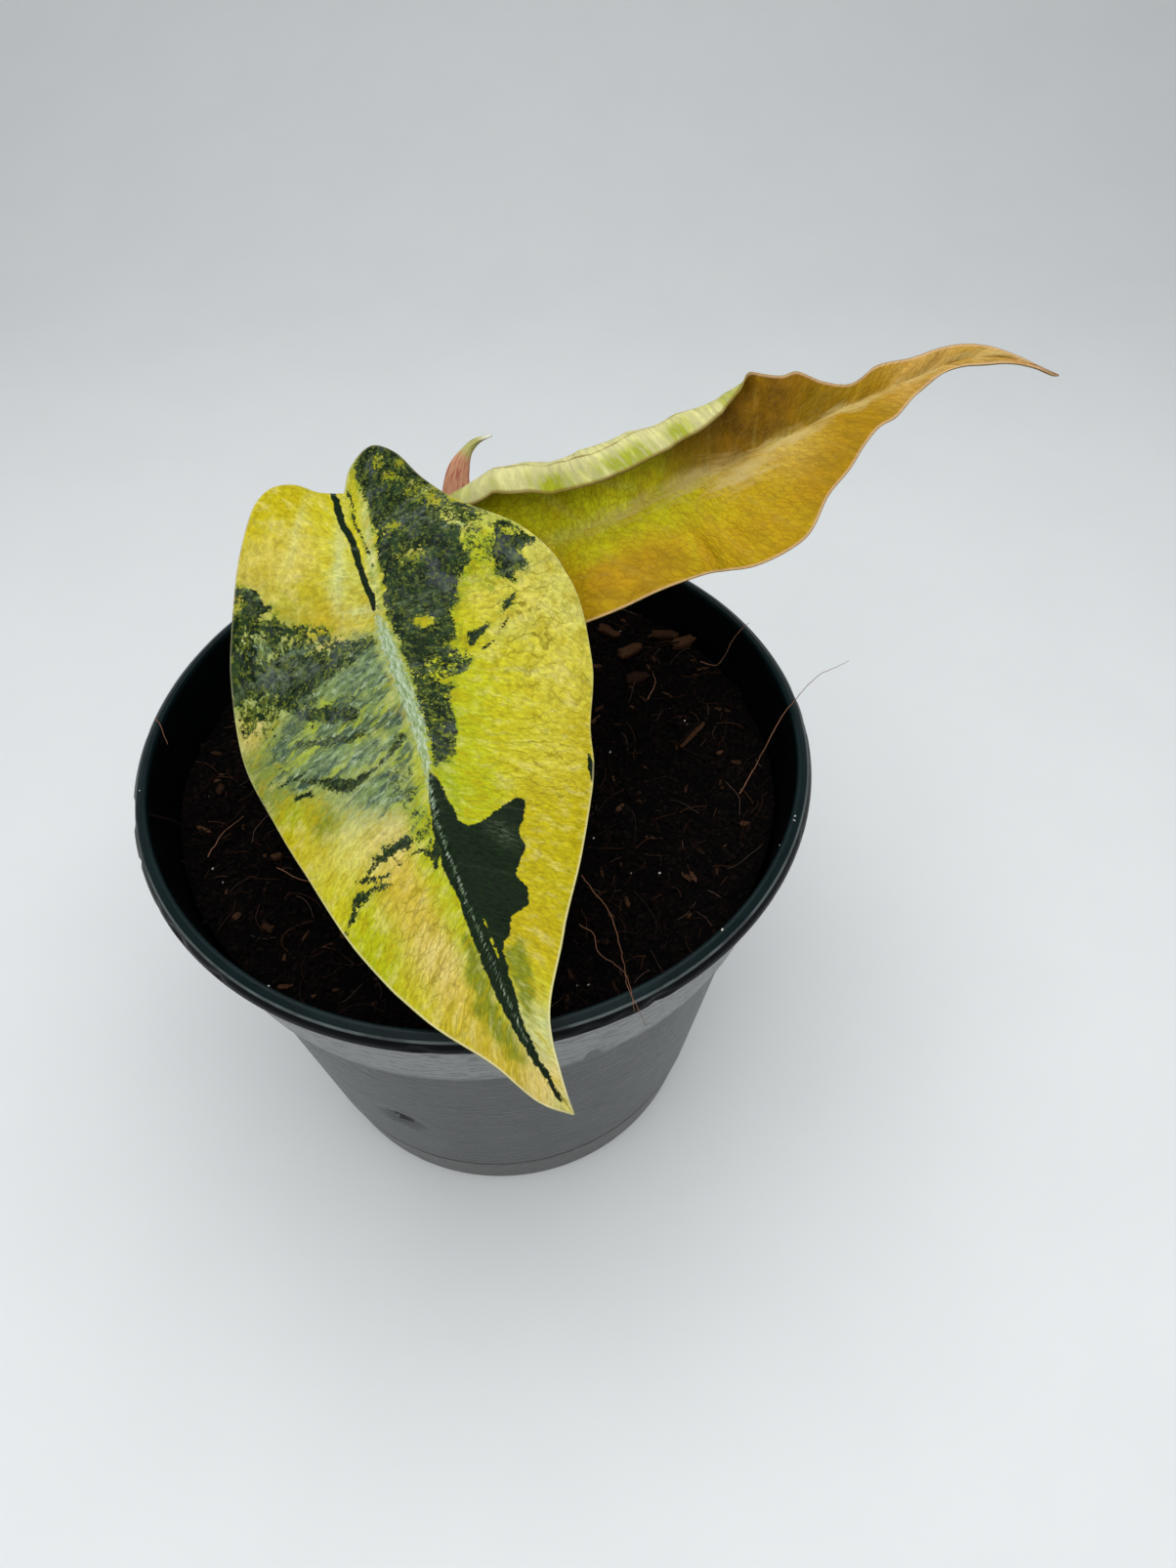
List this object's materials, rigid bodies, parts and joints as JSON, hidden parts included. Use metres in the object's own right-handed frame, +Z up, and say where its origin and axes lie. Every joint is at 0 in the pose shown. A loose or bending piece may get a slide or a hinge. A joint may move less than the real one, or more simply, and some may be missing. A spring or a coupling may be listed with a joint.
{
  "type": "potted variegated alocasia",
  "caption": "Young potted aroid: a shield-shaped variegated leaf droops over the rim of a round black nursery pot and a bronze leaf with a rolled margin rises behind it.",
  "frame": {"origin": "centre of the pot's flat underside, on the surface that it stands on", "axes": "+Z up along the pot's axis, -Y towards the side that the variegated leaf hangs over, +X towards the tip of the back leaf"},
  "size_m": [0.1634, 0.1306, 0.1466],
  "materials": {
    "pot_plastic": "satin black nursery-pot plastic, glossier on the rolled lip",
    "coir_mix": "matt moist fibrous potting mix",
    "corm_skin": "matt, with rings of old leaf scars",
    "leaf_stalk": "smooth, slightly waxy",
    "variegated_blade": "leathery satin, yellow with dark green sectors",
    "bronze_blade": "leathery satin, bronze to ochre",
    "papery_sheath": "dry, papery, pink"
  },
  "bodies": {
    "root": {"pot": "pot_plastic", "potting_soil": "coir_mix", "corm": "corm_skin", "front_leaf_petiole": "leaf_stalk", "front_leaf_blade": "variegated_blade", "back_leaf_petiole": "leaf_stalk", "back_leaf_blade": "bronze_blade", "cataphyll": "papery_sheath"}
  },
  "joints": []
}
